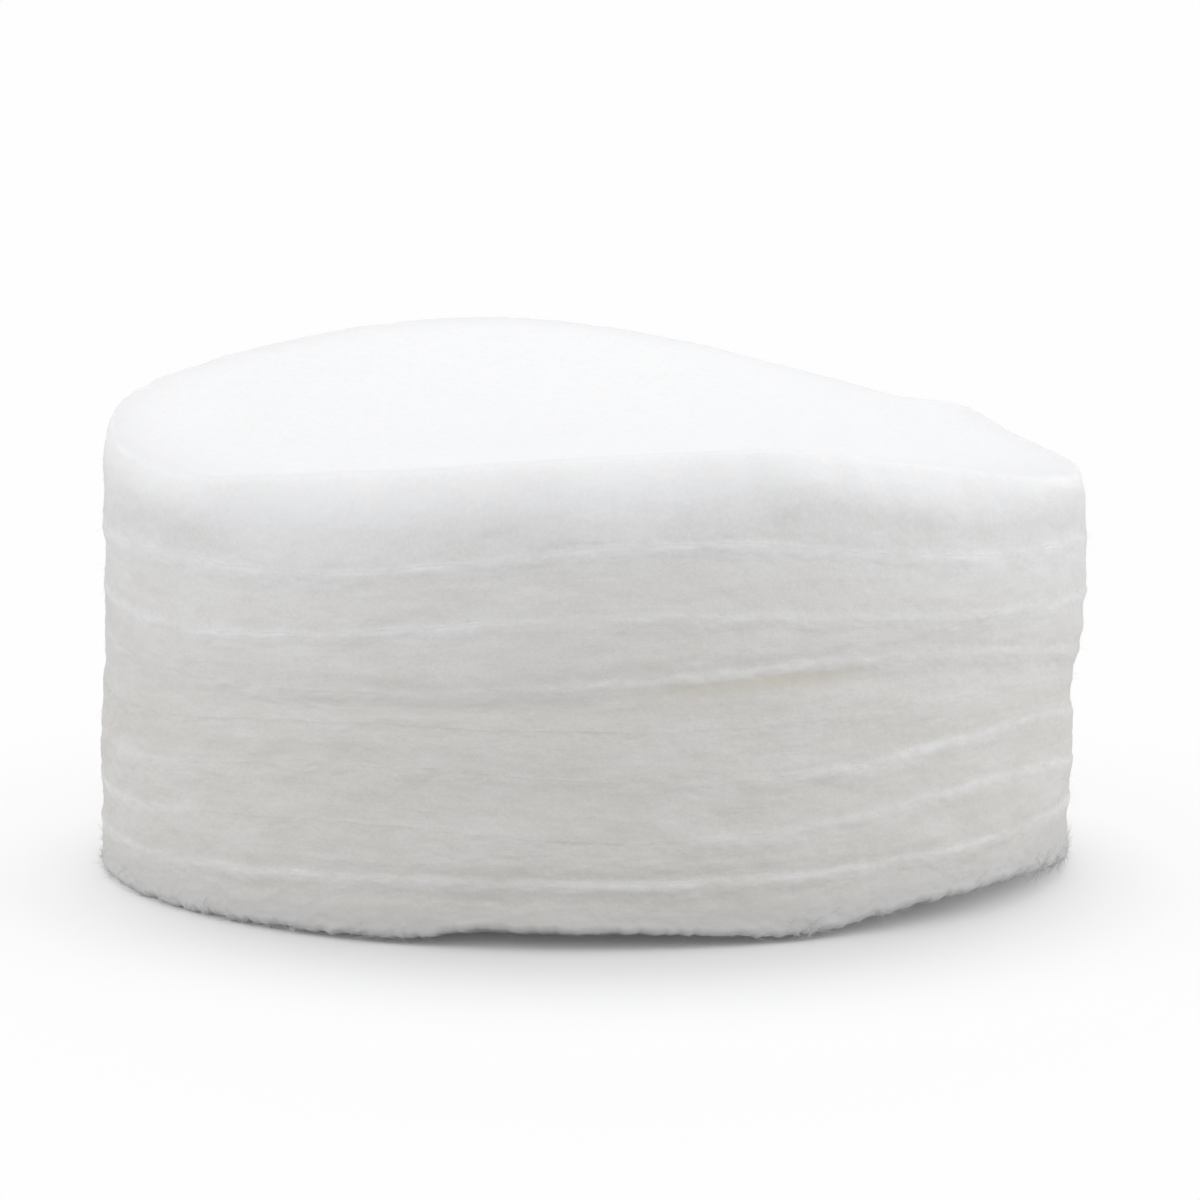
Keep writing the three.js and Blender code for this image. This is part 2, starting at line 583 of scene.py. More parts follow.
class Seam:
    """Where two pads meet: their shared face, and the lower one's pressed rim, which laps over it."""

    def __init__(self, name, upwards, settings, ring, seed):
        low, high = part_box(name)
        middle = (low + high) / 2
        reach = (high.x - low.x) / 2 - FACE_INSET
        mesh = frame["nodes"][name].data
        points = []
        for polygon in mesh.polygons:
            if (polygon.normal.z > 0) == upwards:
                corners = [mesh.vertices[index].co for index in polygon.vertices]
                points += [corner for corner in corners if (corner - middle).to_2d().length < reach]
        x, y, z = np.array(points).T
        self.weights = np.linalg.lstsq(wave_terms(x, y), z, rcond=None)[0]
        knobs = layered(ring, KNOBS, seed, KNOB_BASE)
        self.show = rim_show(name, ring, seed) * np.clip(knobs, *KNOB_RANGE)
        self.rag = settings.rag * layered(ring, SEAM_RAG, seed)
        self.collar = settings.collar * np.clip(self.show, COLLAR_LEAST, 1)

    def height(self, x, y):
        return wave_terms(x, y) @ self.weights

    def ridge(self, rise):
        """How far the pressed rim stands out, from 0 to about 1, at a height over the seam."""
        reach = np.where(rise > CREST, CREST_ABOVE, CREST_BELOW)
        return self.show * np.exp(-(((rise - CREST) / reach) ** 2))


def rim_show(name, ring, seed):
    """How strongly a pad's upper rim shows at each heading, from 0 to about 1."""
    heading = np.degrees(np.arctan2(ring[:, 1], ring[:, 0]))
    rim = RIMS[name]
    away = around(heading, rim.fade_at)
    kept = smooth_step(rim.fade_half - FADE_SOFTNESS, rim.fade_half + FADE_SOFTNESS, away)
    faded = FADE_KEEPS + (1 - FADE_KEEPS) * kept
    patchy = layered(ring, PATCHES, seed, PATCH_BASE)
    return rim.strength * faded * np.clip(patchy, *PATCH_RANGE)


def rim_out(order, turn, ring, settings):
    """How far a pad's rim lies from the stack's axis at each heading."""
    name = PADS[order]
    low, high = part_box(name)
    middle = (low + high) / 2
    radius = (high.x - low.x) / 2
    towards = middle.x * np.cos(turn) + middle.y * np.sin(turn)
    aside = middle.x * np.sin(turn) - middle.y * np.cos(turn)
    flank = Hump(FLANK_HEADING, FLANK_HALF, FLANK_REACH[order] * MM).at(np.degrees(turn))
    stray = settings.wander * layered(ring, OUTLINE_STRAY, order)
    return towards + np.sqrt(radius**2 - aside**2) + flank + stray


def link(name, data):
    made = bpy.data.objects.new(name, data)
    bpy.context.scene.collection.objects.link(made)
    return made


def grid_mesh(name, rings, low_middle, high_middle, sharp_rows):
    """A closed mesh of rings of points, some creased, from a point under them to one over them."""
    rows, segments = rings.shape[:2]
    first = np.arange(rows * segments).reshape(rows, segments)
    after = np.roll(first, -1, axis=1)
    quads = np.stack([first[:-1], after[:-1], after[1:], first[1:]], axis=-1).reshape(-1, 4)
    low_index = rows * segments
    high_index = low_index + 1
    low_fan = [(low_index, ahead, here) for here, ahead in zip(first[0].tolist(), after[0].tolist())]
    high_fan = [(high_index, here, ahead) for here, ahead in zip(first[-1].tolist(), after[-1].tolist())]
    points = np.vstack([rings.reshape(-1, 3), low_middle, high_middle])
    mesh = bpy.data.meshes.new(name)
    mesh.from_pydata(points.tolist(), [], quads.tolist() + low_fan + high_fan)
    mesh.shade_smooth()
    ends = np.zeros(2 * len(mesh.edges), dtype=np.int32)
    mesh.edges.foreach_get("vertices", ends)
    edge_rows = ends.reshape(-1, 2) // segments
    sharp = np.isin(edge_rows[:, 0], sharp_rows) & (edge_rows[:, 0] == edge_rows[:, 1])
    mesh.attributes.new("sharp_edge", "BOOLEAN", "EDGE").data.foreach_set("value", sharp)
    return mesh


def add_attribute(mesh, name, kind, values):
    layer = mesh.attributes.new(name, kind, "POINT")
    field = "vector" if kind == "FLOAT_VECTOR" else "value"
    layer.data.foreach_set(field, np.asarray(values, dtype=np.float32).ravel())


class Side:
    """The stack's outside at every heading: outlines that run together, and a ridge at each seam."""

    def __init__(self, seams, turn, ring, settings):
        self.seams = seams
        self.turn = turn
        self.ring = ring
        self.cosine = np.cos(turn)
        self.sine = np.sin(turn)
        self.heading = np.degrees(turn)
        self.lip = settings.lip
        self.waist = settings.waist
        broad = LOBE_DEPTH * np.cos(BROAD_LOBES * (turn - math.radians(BROAD_HEADING)))
        short = LOBE_DEPTH * np.cos(SHORT_LOBES * (turn - math.radians(SHORT_HEADING)))
        self.swell = layered(ring, ROLL_LUMPS, 0, 1 + broad + short)
        self.drawn = smooth_step(*ROLL_SPAN, around(self.heading, ROLL_HEADING))
        self.rims = [rim_out(order, turn, ring, settings) for order in range(len(PADS))]
        self.unders = [0] + [seam.rag + settings.contact for seam in seams[1:-1]]
        self.talls = []
        for order, rim in enumerate(self.rims):
            x = rim * self.cosine
            y = rim * self.sine
            low = seams[order].height(x, y) + self.unders[order]
            self.talls.append(seams[order + 1].height(x, y) + seams[order + 1].rag - low)

    def out(self, order, rise):
        """How far out the side lies at a height over the seam under a pad."""
        rim = self.rims[order]
        tall = self.talls[order]
        out = rim - self.waist * np.sin(math.pi * np.clip(rise / tall, 0, 1))
        if order > FOOT:
            step = self.rims[order - 1] - rim
            out = out + step / 2 * (1 - smooth_step(0, BLEND, rise))
            out = out + self.lip * self.seams[order].ridge(rise)
        if order < TOP:
            step = self.rims[order + 1] - rim
            out = out + step / 2 * (1 - smooth_step(0, BLEND, tall - rise))
            out = out + self.lip * self.seams[order + 1].ridge(rise - tall)
        return out


class Section:
    """The section of a pad at every heading at once, from under its middle to over it."""

    def __init__(self, turn):
        self.turn = turn
        self.rows = []
        self.sharp_rows = []

    def crease(self):
        """Marks the row that was added last as an edge."""
        self.sharp_rows.append(len(self.rows) - 1)

    def add(self, out, rise, facing, follow=None):
        """A row: its distance from the axis, its height off the seam below, how far it faces outwards, and
        how far it follows the side's lumps, which is as far as it faces outwards unless it is told."""
        follow = facing if follow is None else follow
        self.rows.append([value + 0 * self.turn for value in (out, rise, facing, follow)])

    def arrays(self):
        return np.stack(self.rows, axis=1)


def lay_foot(section, side, settings):
    """The underside on the table and its ragged rim. It gives where the cut edge starts."""
    rim = side.rims[FOOT]
    ragged = layered(side.ring, FOOT_RAGS, 0, FOOT_RAG_BASE)
    lift = settings.foot_rag * np.clip(ragged, 0, FOOT_RAG_MOST)
    for gap in FOOT_GAPS:
        lift += gap.at(side.heading)
    for share in FACE_SHARES:
        section.add((rim - settings.foot_round - settings.foot_inset) * share, 0, 0)
    for row in range(settings.corner_steps):
        share = row / settings.corner_steps
        section.add(rim - settings.foot_round - settings.foot_inset * (1 - share), lift * share**2, 0)
    for turn in np.linspace(0, math.pi / 2, settings.corner_steps + 1):
        inset = 1 - math.sin(turn)
        rise = 1 - math.cos(turn)
        section.add(rim - settings.foot_round * inset, lift + settings.foot_round * rise, 1 - inset)
    return lift + settings.foot_round


def lay_underside(section, side, order, settings):
    """The hidden underside and the bevel behind a collar. It gives where the cut edge starts."""
    foot = side.seams[order].collar
    low = side.out(order, foot * BEVEL_SHARE)
    for share in FACE_SHARES:
        section.add((low - settings.bevel) * share, settings.slack, 0)
    section.add(low - settings.bevel, 0, 0, follow=1)
    section.crease()
    section.add(low, foot * BEVEL_SHARE, 1)
    section.crease()
    section.add(side.out(order, foot), foot, 1)
    return foot


def lay_cut_edge(section, side, order, foot, shoulder, settings):
    """The cut edge between the lower rim and the upper one."""
    for row in range(1, settings.wall_rows + 1):
        rise = foot + (shoulder - foot) * row / (settings.wall_rows + 1)
        section.add(side.out(order, rise), rise, 1)


def lay_collar(section, side, order, settings):
    """The pressed rim, which laps up over the pad above, and the hidden upper face."""
    tall = side.talls[order]
    collar = side.seams[order + 1].collar
    for row in range(settings.lip_rows + 1):
        rise = tall - settings.lip_reach * (1 - row / settings.lip_rows)
        section.add(side.out(order, rise), rise, 1)
    for share in (BEVEL_SHARE, 1):
        rise = collar * share
        section.add(side.out(order + 1, rise) + settings.film * share, tall + rise, 1)
    section.crease()
    inner = side.out(order + 1, collar) + settings.contact
    section.add(inner, tall + collar, 0, follow=1)
    section.crease()
    inner = side.out(order + 1, collar * INNER_SHARE) + settings.contact
    section.add(inner, tall + collar * INNER_SHARE, 0, follow=1)
    section.add(inner - settings.bevel, tall, 0, follow=1)
    for share in reversed(FACE_SHARES):
        section.add((inner - settings.bevel) * share, tall - settings.slack, 0)


def roll_size(side, foot, settings):
    """How far the top's rolled rim draws in, and how far down it reaches."""
    inset = settings.roll_inset * (ROLL_INSET_LEAST + (1 - ROLL_INSET_LEAST) * side.drawn * side.swell)
    depth = settings.roll_depth * (ROLL_DEPTH_LEAST + (1 - ROLL_DEPTH_LEAST) * side.drawn) * side.swell
    return inset, np.minimum(depth, side.talls[TOP] - ROLL_LEAVES * foot)


def lay_roll(section, side, inset, depth, settings):
    """The top's rolled rim, the soft turn to its face, and the crowned face."""
    tall = side.talls[TOP]
    edge_rise = tall - settings.crown - settings.edge
    reach = depth - settings.crown - settings.edge
    for row in range(settings.roll_rows + 1):
        share = 1 - (1 - row / settings.roll_rows) ** ROLL_CROWDING
        rise = edge_rise - reach * (1 - share)
        roll = share**ROLL_POWER
        section.add(side.out(TOP, rise) - inset * roll, rise, 1 - (1 - CORNER_FACING) * roll)
    rim = side.out(TOP, edge_rise) - inset
    slant = ROLL_POWER * inset / reach * settings.edge
    for row in range(1, settings.corner_steps + 1):
        share = row / settings.corner_steps
        turned = 2 * share * (1 - share)
        section.add(
            rim - turned * slant - share**2 * (slant + settings.edge),
            edge_rise + (turned + share**2) * settings.edge,
            CORNER_FACING * (1 - share),
        )
    face = rim - slant - settings.edge
    for row in range(1, settings.face_rings):
        out = face * (1 - (row / settings.face_rings) ** FACE_CROWDING)
        fallen = np.clip(1 - (face - out) / settings.crown_reach, 0, 1) ** 2
        section.add(out, tall - settings.crown * fallen, 0)


def painted_highlight(order, side, rise, roll_depth):
    """Painted highlight along the pressed rims and on the top's roll, from 0 to about 1."""
    drop = side.talls[order] - rise
    pressed = np.zeros_like(rise)
    if order > FOOT:
        pressed += RIDGE_HIGHLIGHT * side.seams[order].ridge(rise)
    if order < TOP:
        pressed += RIDGE_HIGHLIGHT * side.seams[order + 1].ridge(-drop)
    else:
        pressed += 1 - smooth_step(ROLL_HIGHLIGHT_FULL, 1, drop / roll_depth)
    return pressed


def loose_fuzz(order, side, rise, facing, pressed, places):
    """How thick the loose fibres lie."""
    fuzz = np.full_like(rise, FUZZ_SIDE)
    if order == FOOT:
        fuzz += FUZZ_FOOT * np.exp(-((rise / FUZZ_FOOT_REACH) ** 2))
    if order == TOP:
        fuzz *= smooth_step(*FUZZ_TOP_SPAN, side.talls[TOP] - rise)
    else:
        # More fibres lie along the pressed rims, where the painted highlight is
        fuzz += FUZZ_RIM * np.clip(pressed, 0, 1)
    clumped = smooth_step(*FUZZ_CLUMP_SPAN, layered(places, FUZZ_CLUMPS))
    shown = np.where(facing > 0, 1, float(order == TOP))
    return fuzz * np.where(facing > FUZZ_CLUMP_FACING, clumped, FUZZ_FACE) * shown


def painted_light_soak(order, side, rise, z, settings):
    """Painted light of the top, soaking down the side from 1 to 0, and less where the foot has painted shade.
    """
    top_height = side.seams[-1].height(side.rims[TOP] * side.cosine, side.rims[TOP] * side.sine)
    painted_soak = np.clip(SOAK_GAIN * (1 - (top_height - z) / settings.painted_soak), 0, 1)
    if order == FOOT:
        # Painted shade: the foot darkens towards the table
        painted_soak -= FOOT_PAINTED_SHADE * smooth_step(*FOOT_PAINTED_SHADE_SPAN, rise)
    return painted_soak


def painted_rim_shade_mask(order, side, out, rise, facing):
    """Painted shade along the top's rim and along the foot."""
    painted_rim_shade = np.zeros_like(rise)
    if order == FOOT:
        painted_rim_shade += FOOT_RIM_SHADE * smooth_step(*FOOT_RIM_SHADE_SPAN, rise)
    if order == TOP:
        turned = np.clip(facing / CORNER_FACING, 0, 1)
        near_rim = np.exp((out - side.rims[TOP]) / RIM_SHADE_REACH)
        painted_rim_shade += near_rim * (FACE_RIM_SHADE - FACE_RIM_SHADE_LOST * side.drawn) * (1 - turned)
        painted_rim_shade += (TOP_EDGE_SHADE + TOP_EDGE_SHADE_ADDED * side.drawn) * turned * (1 - turned)
    return painted_rim_shade


def beige_band_mask(order, side, rise):
    """How far the beige band covers a pad, from 0 to 1."""
    if PADS[order] != BEIGE_BAND_PAD:
        return np.zeros_like(rise)
    drop = side.talls[order] - rise
    sideways = smooth_step(BEIGE_BAND_HALF, BEIGE_BAND_HALF * BEIGE_BAND_CORE, around(side.heading, BEIGE_BAND_HEADING))
    upwards = smooth_step(BEIGE_BAND_TOP, 2 * BEIGE_BAND_TOP, drop) * smooth_step(BEIGE_BAND_DEPTH, 2 * BEIGE_BAND_TOP, drop)
    return sideways * upwards


def sculpt_pad(order, side, settings):
    """One pad between its two seams, with its cut edge and its rim."""
    name = PADS[order]
    above = side.seams[order + 1]
    rim = side.rims[order]
    tall = side.talls[order]
    section = Section(side.turn)
    roll_depth = None
    if order == FOOT:
        foot = lay_foot(section, side, settings)
    else:
        foot = lay_underside(section, side, order, settings)
    if order == TOP:
        roll_inset, roll_depth = roll_size(side, foot, settings)
        lay_cut_edge(section, side, order, foot, tall - roll_depth, settings)
        lay_roll(section, side, roll_inset, roll_depth, settings)
    else:
        lay_cut_edge(section, side, order, foot, tall - settings.lip_reach, settings)
        lay_collar(section, side, order, settings)

    out, rise, facing, follow = section.arrays()
    x = out * side.cosine
    y = out * side.sine
    base = side.seams[order].height(x, y) + side.unders[order]
    rag = above.rag * (out / rim) ** RAG_FADES if order == TOP else above.rag
    z = base + (above.height(x, y) + rag - base) * rise / tall

    # Soft lumps, longer along the rim than up it, which run on from pad to pad
    places = np.stack([x, y, LUMP_SQUASH * z], axis=-1)
    swell = layered(places, BROAD_LUMPS)
    push = settings.fluff * (swell + layered(places, FINE_LUMPS)) * follow
    if order == FOOT:
        broad = np.clip(layered(places, BROAD_TUFTS), *BROAD_TUFT_RANGE)
        tufts = layered(places, FINE_TUFTS, 0, broad)
        push += settings.tuft * tufts * smooth_step(*TUFT_SPAN, rise) * facing
        z = np.maximum(z, 0)
    if order == TOP:
        z += settings.fluff * FACE_FLUFF * swell * (1 - facing)
        near_rim = smooth_step(WAVE_START, 1, out / rim) * smooth_step(0, tall, rise)
        for wave in RIM_WAVES:
            z += near_rim * wave.at(side.heading)
    x += push * side.cosine
    y += push * side.sine
    middles = ([0, 0, z[0].mean()], [0, 0, z[-1].mean()])
    mesh = grid_mesh(name, np.stack([x, y, z], axis=-1), *middles, section.sharp_rows)

    # What the materials and fibres read: places in a stack of flat pads, the cotton's state, and masks of
    # painted light and shade
    over = np.maximum(rise - tall, 0) / side.talls[min(order + 1, TOP)]
    level = (order + np.minimum(rise / tall, 1) + over) * LEVEL_STEP
    flat = np.stack([x, y, level], axis=-1).reshape(-1, 3)
    batt = np.vstack([flat, [0, 0, level[0, 0]], [0, 0, level[-1, 0]]])
    add_attribute(mesh, "batt", "FLOAT_VECTOR", batt)
    pressed = painted_highlight(order, side, rise, roll_depth)
    fields = {
        "cut": facing,
        "fuzz": loose_fuzz(order, side, rise, facing, pressed, places),
        # The painted highlight along the pressed rims and on the top's roll
        "pressed": pressed,
        # Painted light soaking down from the top, and painted shade at the foot
        "painted_soak": painted_light_soak(order, side, rise, z, settings),
        "glow": (1 - smooth_step(*GLOW_SPAN, (tall - rise) / tall)) * float(order == TOP),
        # Painted shade along the top's rim and the foot
        "painted_rim_shade": painted_rim_shade_mask(order, side, out, rise, facing),
        "beige_band": beige_band_mask(order, side, rise),
    }
    for title, values in fields.items():
        ends = [values[0].mean(), values[-1].mean()]
        add_attribute(mesh, title, "FLOAT", np.append(values.ravel(), ends))
    return link(name + "_batt", mesh)


def new_material(name):
    material = bpy.data.materials.new(name)
    material.use_nodes = True
    return material, Graph(material.node_tree)


def opaque(colour):
    return (*colour, 1)


def cotton_material(settings):
    """Bleached cotton: layered fibres on the cut edge, matted fibres on the faces, with painted shade,
    painted highlight and painted light in its colour.
    """
    material, graph = new_material("cotton batt")
    batt = graph.attribute("batt", "Vector")
    names = ("cut", "pressed", "painted_soak", "glow", "painted_rim_shade", "beige_band")
    cut, pressed, painted_soak, glow, painted_rim_shade, beige_band = (graph.attribute(name) for name in names)
    layers = graph.noise(batt, **LAYER_NOISE)
    clumps = graph.noise(batt, **CLUMP_NOISE)
    grain = graph.noise(batt, **GRAIN_NOISE)
    mat = graph.noise(batt, **MAT_NOISE)

    uneven = LAYERS_THIN * layers + CLUMPS_THIN * clumps + GRAIN_THIN * grain - THIN_MIDDLE
    # Painted shade on the cut edge, lessened where painted light soaks down and on the painted highlight of
    # the rims; the noises add random tone
    painted_edge_shade = EDGE_PAINTED_SHADE * (1 - SOAK_WHITENS * painted_soak) * (1 - pressed)
    thin = cut * (painted_edge_shade + uneven) + (1 - cut) * (mat - MAT_WHITE)
    clean = graph.mix(thin, opaque(settings.cotton), opaque(settings.shaded))
    # Painted shade along the top's rim and the foot
    rim_shaded = graph.mix(painted_rim_shade, clean, opaque(settings.rim_shade_tint))
    edge_relief = LAYERS_RELIEF * layers + GRAIN_RELIEF * grain
    face_relief = FACE_RELIEF * mat + FACE_RELIEF * grain
    relief = cut * edge_relief + (1 - cut) * face_relief
    finish = {
        "Base Color": graph.mix(BEIGE_BAND_STRENGTH * beige_band, rim_shaded, opaque(settings.beige_tint)),
        "Roughness": 0.88 + 0.1 * grain,
        "Normal": graph.node("ShaderNodeBump", {"Strength": 0.8, "Distance": 0.06 * MM, "Height": relief}),
        "Specular IOR Level": 0.15,
        "Sheen Weight": 0.08,
        "Sheen Roughness": 0.6,
    }
    lit_through = {
        "Subsurface Weight": 1.0,
        "Subsurface Radius": (1.0, 0.97, 0.92),
        "Subsurface Scale": settings.glow,
    }
    dense = graph.node("ShaderNodeBsdfPrincipled", finish)
    loose = graph.node("ShaderNodeBsdfPrincipled", finish | lit_through, subsurface_method="RANDOM_WALK")
    graph.node("ShaderNodeOutputMaterial", {"Surface": graph.mix_shader(glow, dense, loose)})
    return material


def fibre_material(settings):
    """Single loose fibres."""
    material, graph = new_material("cotton fibre")
    fleck = graph.noise(graph.node("ShaderNodeTexCoord", output="Object"), **FLECK_NOISE)
    finish = {
        "Base Color": graph.mix(fleck, opaque(settings.cotton), opaque(settings.shaded)),
        "Roughness": 0.8 + 0.15 * fleck,
        "Specular IOR Level": 0.15,
    }
    surface = graph.node("ShaderNodeBsdfPrincipled", finish)
    graph.node("ShaderNodeOutputMaterial", {"Surface": surface})
    return material


# What the fibres' node tree is given, apart from the pad
FUZZ_SIZES = ("Density", "Length", "Thickness", "Lift", "Curl")
FUZZ_INPUTS = dict.fromkeys(FUZZ_SIZES, "NodeSocketFloat")
FUZZ_INPUTS |= {"Seed": "NodeSocketInt", "Material": "NodeSocketMaterial"}


def fuzz_tree():
    """Loose fibres, most of them along the cut edge, and more ways on the top face and the foot."""
    tree = bpy.data.node_groups.new("loose cotton fibres", "GeometryNodeTree")
    tree.interface.new_socket("Geometry", in_out="INPUT", socket_type="NodeSocketGeometry")
    for name, kind in FUZZ_INPUTS.items():
        tree.interface.new_socket(name, in_out="INPUT", socket_type=kind)
    tree.interface.new_socket("Geometry", in_out="OUTPUT", socket_type="NodeSocketGeometry")
    graph = Graph(tree)
    given = graph.node("NodeGroupInput")
    fuzz = graph.node("GeometryNodeInputNamedAttribute", {"Name": "fuzz"}, data_type="FLOAT")
    cut = graph.node("GeometryNodeInputNamedAttribute", {"Name": "cut"}, data_type="FLOAT")
    seed = given.output("Seed")
    points = graph.node(
        "GeometryNodeDistributePointsOnFaces",
        {"Mesh": given, "Density": given.output("Density") * fuzz, "Seed": seed},
        distribute_method="RANDOM",
    )

    # Which way a fibre lies
    place = graph.node("GeometryNodeInputPosition")
    along = graph.vector("CROSS_PRODUCT", (0, 0, 1), place)
    flat = graph.node(
        "FunctionNodeAxesToRotation",
        {"Primary Axis": points.output("Normal"), "Secondary Axis": along},
        primary_axis="Z",
        secondary_axis="X",
    )

    def random(low, high, offset):
        sockets = {2: low, 3: high, "Seed": seed + offset}
        return graph.node("FunctionNodeRandomValue", sockets, output=1, data_type="FLOAT")

    swing = math.pi - (math.pi - FIBRE_SWING) * cut + FIBRE_STRAYS * fuzz
    spin = random(-1.0, 1.0, 1) * swing
    tilt = random(-1.0, FIBRE_DIP, 2) * given.output("Lift")
    turned = graph.node("ShaderNodeCombineXYZ", {"Y": tilt, "Z": spin})
    own = graph.node("FunctionNodeEulerToRotation", {"Euler": turned})
    rotation = graph.node(
        "FunctionNodeRotateRotation", {"Rotation": flat, "Rotate By": own}, rotation_space="LOCAL"
    )

    # One straight fibre, laid on every point
    end = graph.node("ShaderNodeCombineXYZ", {"X": given.output("Length")})
    line = graph.node("GeometryNodeCurvePrimitiveLine", {"Start": (0, 0, 0), "End": end}, mode="POINTS")
    fibre = graph.node("GeometryNodeResampleCurve", {"Curve": line, "Count": FIBRE_POINTS}, mode="COUNT")
    scale = random(FIBRE_SHORTEST, 1.0, 3)
    laid = graph.node(
        "GeometryNodeInstanceOnPoints",
        {"Points": points, "Instance": fibre, "Rotation": rotation, "Scale": scale},
    )
    loose = graph.node("GeometryNodeRealizeInstances", {"Geometry": laid})

    # Curls that grow towards the fibre's end, kept off the table, and a taper
    share = graph.node("GeometryNodeSplineParameter")
    wild = graph.noise(place, **CURL_NOISE).output("Color")
    stray = graph.vector("SUBTRACT", wild, (0.5, 0.5, 0.5))
    gain = given.output("Curl") * share * CURL_GAIN
    bend = graph.node("ShaderNodeVectorMath", {0: stray, "Scale": gain}, operation="SCALE")
    curled = graph.node("GeometryNodeSetPosition", {"Geometry": loose, "Offset": bend})
    across = graph.node("ShaderNodeSeparateXYZ", {0: place})
    lifted = graph.math("MAXIMUM", across.output("Z"), FIBRE_LOWEST)
    kept = graph.node("ShaderNodeCombineXYZ", {0: across, 1: across.output("Y"), 2: lifted})
    clear = graph.node("GeometryNodeSetPosition", {"Geometry": curled, "Position": kept})
    taper = given.output("Thickness") * (FIBRE_ROOT - FIBRE_TAPER * share) * (1 + FIBRE_COARSENS * fuzz)
    profile = {"Resolution": FIBRE_SIDES, "Radius": 1.0}
    section = graph.node("GeometryNodeCurvePrimitiveCircle", profile, mode="RADIUS")
    tubes = graph.node(
        "GeometryNodeCurveToMesh",
        {"Curve": clear, "Profile Curve": section, "Scale": taper, "Fill Caps": True},
    )
    real = graph.node("GeometryNodeRealizeInstances", {"Geometry": tubes})
    material = given.output("Material")
    finished = graph.node("GeometryNodeSetMaterial", {"Geometry": real, "Material": material})
    graph.node("NodeGroupOutput", {"Geometry": finished})
    return tree


def plain_mesh(carrier, tree, values):
    """What a node tree makes of an object, as a mesh of its own."""
    modifier = carrier.modifiers.new(tree.name, "NODES")
    modifier.node_group = tree
    for item in tree.interface.items_tree:
        if item.in_out == "INPUT" and item.name in values:
            modifier[item.identifier] = values[item.name]
    made = carrier.evaluated_get(bpy.context.evaluated_depsgraph_get())
    mesh = bpy.data.meshes.new_from_object(made)
    carrier.modifiers.remove(modifier)
    return mesh


class COTTON_OT_make_pads(bpy.types.Operator):
    """Makes the pads in place of their plain solids."""

    bl_idname = "cotton.make_pads"
    bl_label = "Make pads"

    def execute(self, context):
        settings = context.scene.cotton_pads
        material = cotton_material(settings)
        turn = np.linspace(0, 2 * math.pi, settings.segments, endpoint=False)
        ring = np.column_stack([np.cos(turn), np.sin(turn), 0 * turn]) * RIM_RADIUS
        seams = [Seam(PADS[FOOT], False, settings, ring, 0)]
        seams += [Seam(name, True, settings, ring, order + 1) for order, name in enumerate(PADS)]
        side = Side(seams, turn, ring, settings)
        for order, name in enumerate(PADS):
            pad = sculpt_pad(order, side, settings)
            pad.data.materials.append(material)
            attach(pad, BODY)
            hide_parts(name)
        return {"FINISHED"}


class COTTON_OT_grow_fuzz(bpy.types.Operator):
    """Lays loose fibres on the pads."""

    bl_idname = "cotton.grow_fuzz"
    bl_label = "Grow fuzz"

    def execute(self, context):
        settings = context.scene.cotton_fuzz
        material = fibre_material(context.scene.cotton_pads)
        tree = fuzz_tree()
        for order, name in enumerate(PADS):
            fuzz = link(name + "_fuzz", bpy.data.objects[name + "_batt"].data)
            values = {size: getattr(settings, size.lower()) for size in FUZZ_SIZES}
            values |= {"Seed": settings.seed + FUZZ_SEED_STEP * order, "Material": material}
            fuzz.data = plain_mesh(fuzz, tree, values)
            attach(fuzz, BODY)
        return {"FINISHED"}


def seen_plainly(graph):
    """1 for what the camera sees, also in glass and reflections, and 0 for light on the cotton."""
    path = graph.node("ShaderNodeLightPath")
    return path.output("Is Camera Ray") + path.output("Is Glossy Ray") + path.output("Is Transmission Ray")


def floor_material(settings):
    """White with the stack's shadow, lifted by a painted glow, to the camera and in reflections, pale grey in
    its bounce.
    """
    material, graph = new_material("studio floor")
    place = graph.node("ShaderNodeTexCoord", output="Object")
    oval = graph.vector("MULTIPLY", place, (FLOOR_OVAL, 1, 1))
    away = graph.node("ShaderNodeVectorMath", {0: oval}, output="Value", operation="LENGTH")
    spread = {
        "Value": away,
        "From Min": RIM_RADIUS,
        "From Max": settings.shadow_reach,
        "To Min": SHADOW_FILL,
    }
    open_floor = graph.node("ShaderNodeMapRange", spread, interpolation_type="SMOOTHSTEP")
    white = opaque(settings.floor_seen)
    bounced = graph.node("ShaderNodeBsdfDiffuse", {"Color": opaque(settings.floor_bounce)})
    shaded = graph.node("ShaderNodeBsdfDiffuse", {"Color": white})
    bright = graph.node("ShaderNodeEmission", {"Color": white, "Strength": 1.0})
    shown = graph.mix_shader(open_floor, shaded, bright)
    surface = graph.mix_shader(seen_plainly(graph), bounced, shown)
    graph.node("ShaderNodeOutputMaterial", {"Surface": surface})
    return material


def make_floor(settings):
    reach = settings.floor_reach
    corners = [(-reach, -reach), (reach, -reach), (reach, reach), (-reach, reach)]
    mesh = bpy.data.meshes.new("floor")
    mesh.from_pydata([(x, y, -FLOOR_DROP) for x, y in corners], [], [(0, 1, 2, 3)])
    mesh.materials.append(floor_material(settings))
    link("floor", mesh)


